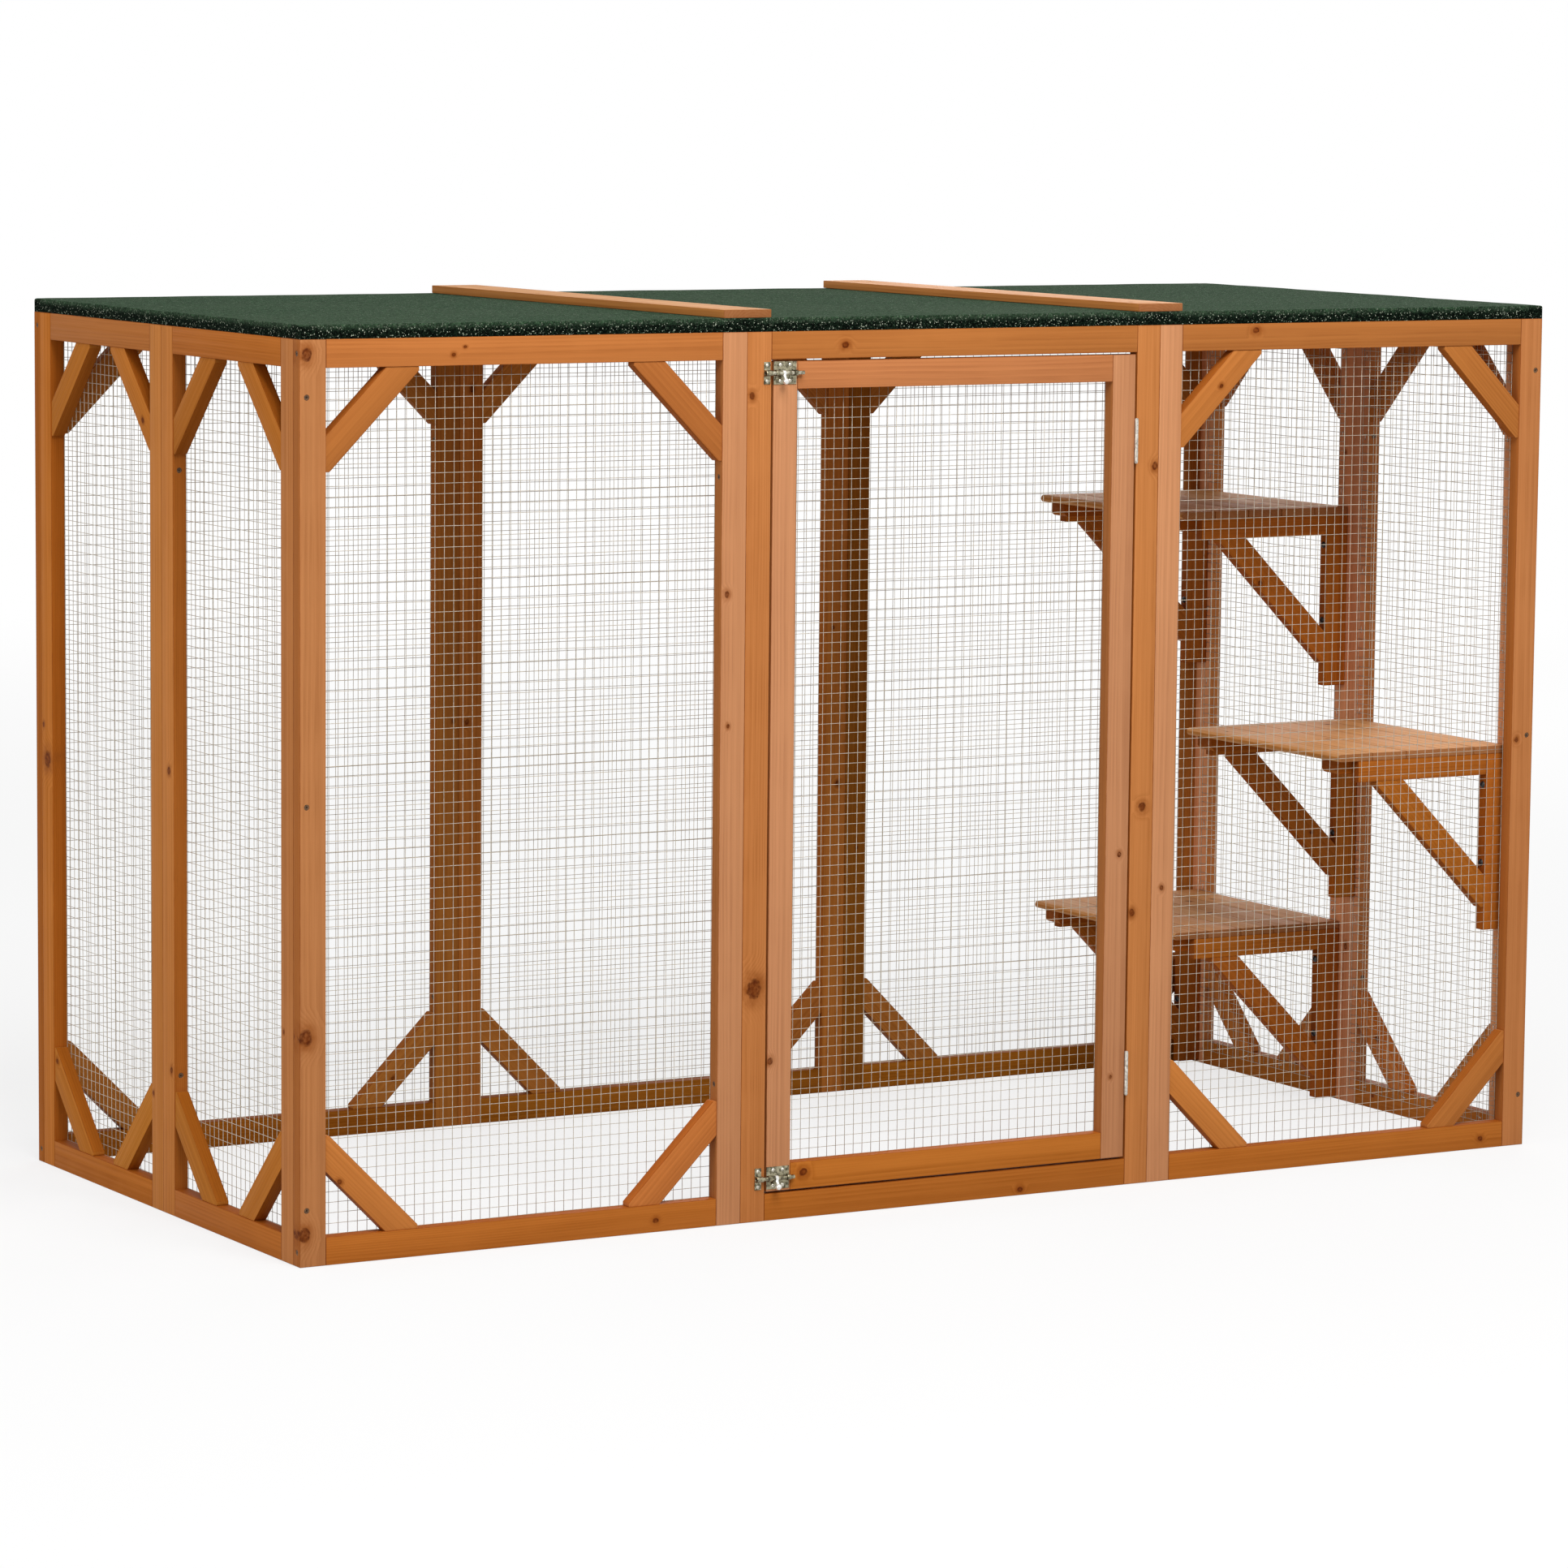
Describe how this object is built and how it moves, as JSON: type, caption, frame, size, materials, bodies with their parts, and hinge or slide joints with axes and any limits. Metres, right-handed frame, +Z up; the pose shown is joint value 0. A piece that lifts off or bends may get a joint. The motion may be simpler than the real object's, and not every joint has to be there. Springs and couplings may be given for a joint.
{
  "type": "catio",
  "caption": "Free-standing timber and wire cat enclosure with a framed front door, door bolts, slatted corner shelves and a flat felted roof.",
  "frame": {"origin": "on the ground under the middle of the whole outline", "axes": "+X to the right along the front, +Y from the front to the back, +Z up"},
  "size_m": [1.8, 0.8034, 1.127],
  "materials": {
    "stile_timber": "satin stained fir",
    "rail_timber": "satin stained fir",
    "brace_timber": "satin stained fir",
    "shelf_timber": "satin stained fir",
    "bracket_timber": "satin stained fir",
    "batten_timber": "satin stained fir",
    "mesh_wire": "galvanised",
    "hinge_steel": "zinc plated",
    "bolt_steel": "passivated zinc",
    "roof_board": "raw board",
    "roof_felt": "mineral grains on bitumen",
    "screw_steel": "brown plated",
    "black_screw": "black"
  },
  "bodies": {
    "cage": {"front_left_stiles": "stile_timber", "front_left_rails": "rail_timber", "front_left_mesh": "mesh_wire", "door_frame_stiles": "stile_timber", "door_frame_rails": "rail_timber", "front_right_stiles": "stile_timber", "front_right_rails": "rail_timber", "front_right_mesh": "mesh_wire", "left_front_stiles": "stile_timber", "left_front_rails": "rail_timber", "left_front_mesh": "mesh_wire", "left_rear_stiles": "stile_timber", "left_rear_rails": "rail_timber", "left_rear_mesh": "mesh_wire", "right_front_stiles": "stile_timber", "right_front_rails": "rail_timber", "right_front_mesh": "mesh_wire", "right_rear_stiles": "stile_timber", "right_rear_rails": "rail_timber", "right_rear_mesh": "mesh_wire", "back_left_stiles": "stile_timber", "back_left_rails": "rail_timber", "back_left_mesh": "mesh_wire", "back_centre_stiles": "stile_timber", "back_centre_rails": "rail_timber", "back_centre_mesh": "mesh_wire", "back_right_stiles": "stile_timber", "back_right_rails": "rail_timber", "back_right_mesh": "mesh_wire", "front_braces": "brace_timber", "left_wall_braces": "brace_timber", "right_wall_braces": "brace_timber", "back_wall_braces": "brace_timber", "hinge_frame_leaves": "hinge_steel", "hinge_pins": "hinge_steel", "bolt_keepers": "bolt_steel", "roof_board_left": "roof_board", "roof_board_centre": "roof_board", "roof_board_right": "roof_board", "roof_felts": "roof_felt", "roof_battens": "batten_timber", "top_shelf_planks": "shelf_timber", "middle_shelf_planks": "shelf_timber", "lower_shelf_planks": "shelf_timber", "shelf_battens": "bracket_timber", "shelf_arms": "bracket_timber", "shelf_legs": "bracket_timber", "shelf_struts": "bracket_timber", "wood_screws": "screw_steel", "shelf_screws": "black_screw"},
    "door": {"door_stiles": "stile_timber", "door_rails": "rail_timber", "door_mesh": "mesh_wire", "door_screws": "screw_steel", "hinge_door_leaves": "hinge_steel", "bolt_plates": "bolt_steel"},
    "top_bolt": {"top_bolt_rod": "bolt_steel"},
    "top_knob": {"top_bolt_knob": "bolt_steel"},
    "bottom_bolt": {"bottom_bolt_rod": "bolt_steel"},
    "bottom_knob": {"bottom_bolt_knob": "bolt_steel"}
  },
  "joints": [
    {"name": "door_hinge", "type": "hinge", "parent": "cage", "child": "door", "pos_m": [0.26475, -0.38988, 0.55], "axis": [0, 0, 1], "range_deg": [0, 160]},
    {"name": "top_bolt_slide", "type": "slide", "parent": "door", "child": "top_bolt", "axis": [1, 0, 0], "range_m": [0, 0.011]},
    {"name": "top_knob_turn", "type": "hinge", "parent": "top_bolt", "child": "top_knob", "pos_m": [-0.2515, -0.39198, 1.0495], "axis": [-1, 0, 0], "range_deg": [0, 90]},
    {"name": "bottom_bolt_slide", "type": "slide", "parent": "door", "child": "bottom_bolt", "axis": [1, 0, 0], "range_m": [0, 0.011]},
    {"name": "bottom_knob_turn", "type": "hinge", "parent": "bottom_bolt", "child": "bottom_knob", "pos_m": [-0.2515, -0.39198, 0.0535], "axis": [-1, 0, 0], "range_deg": [0, 90]}
  ]
}
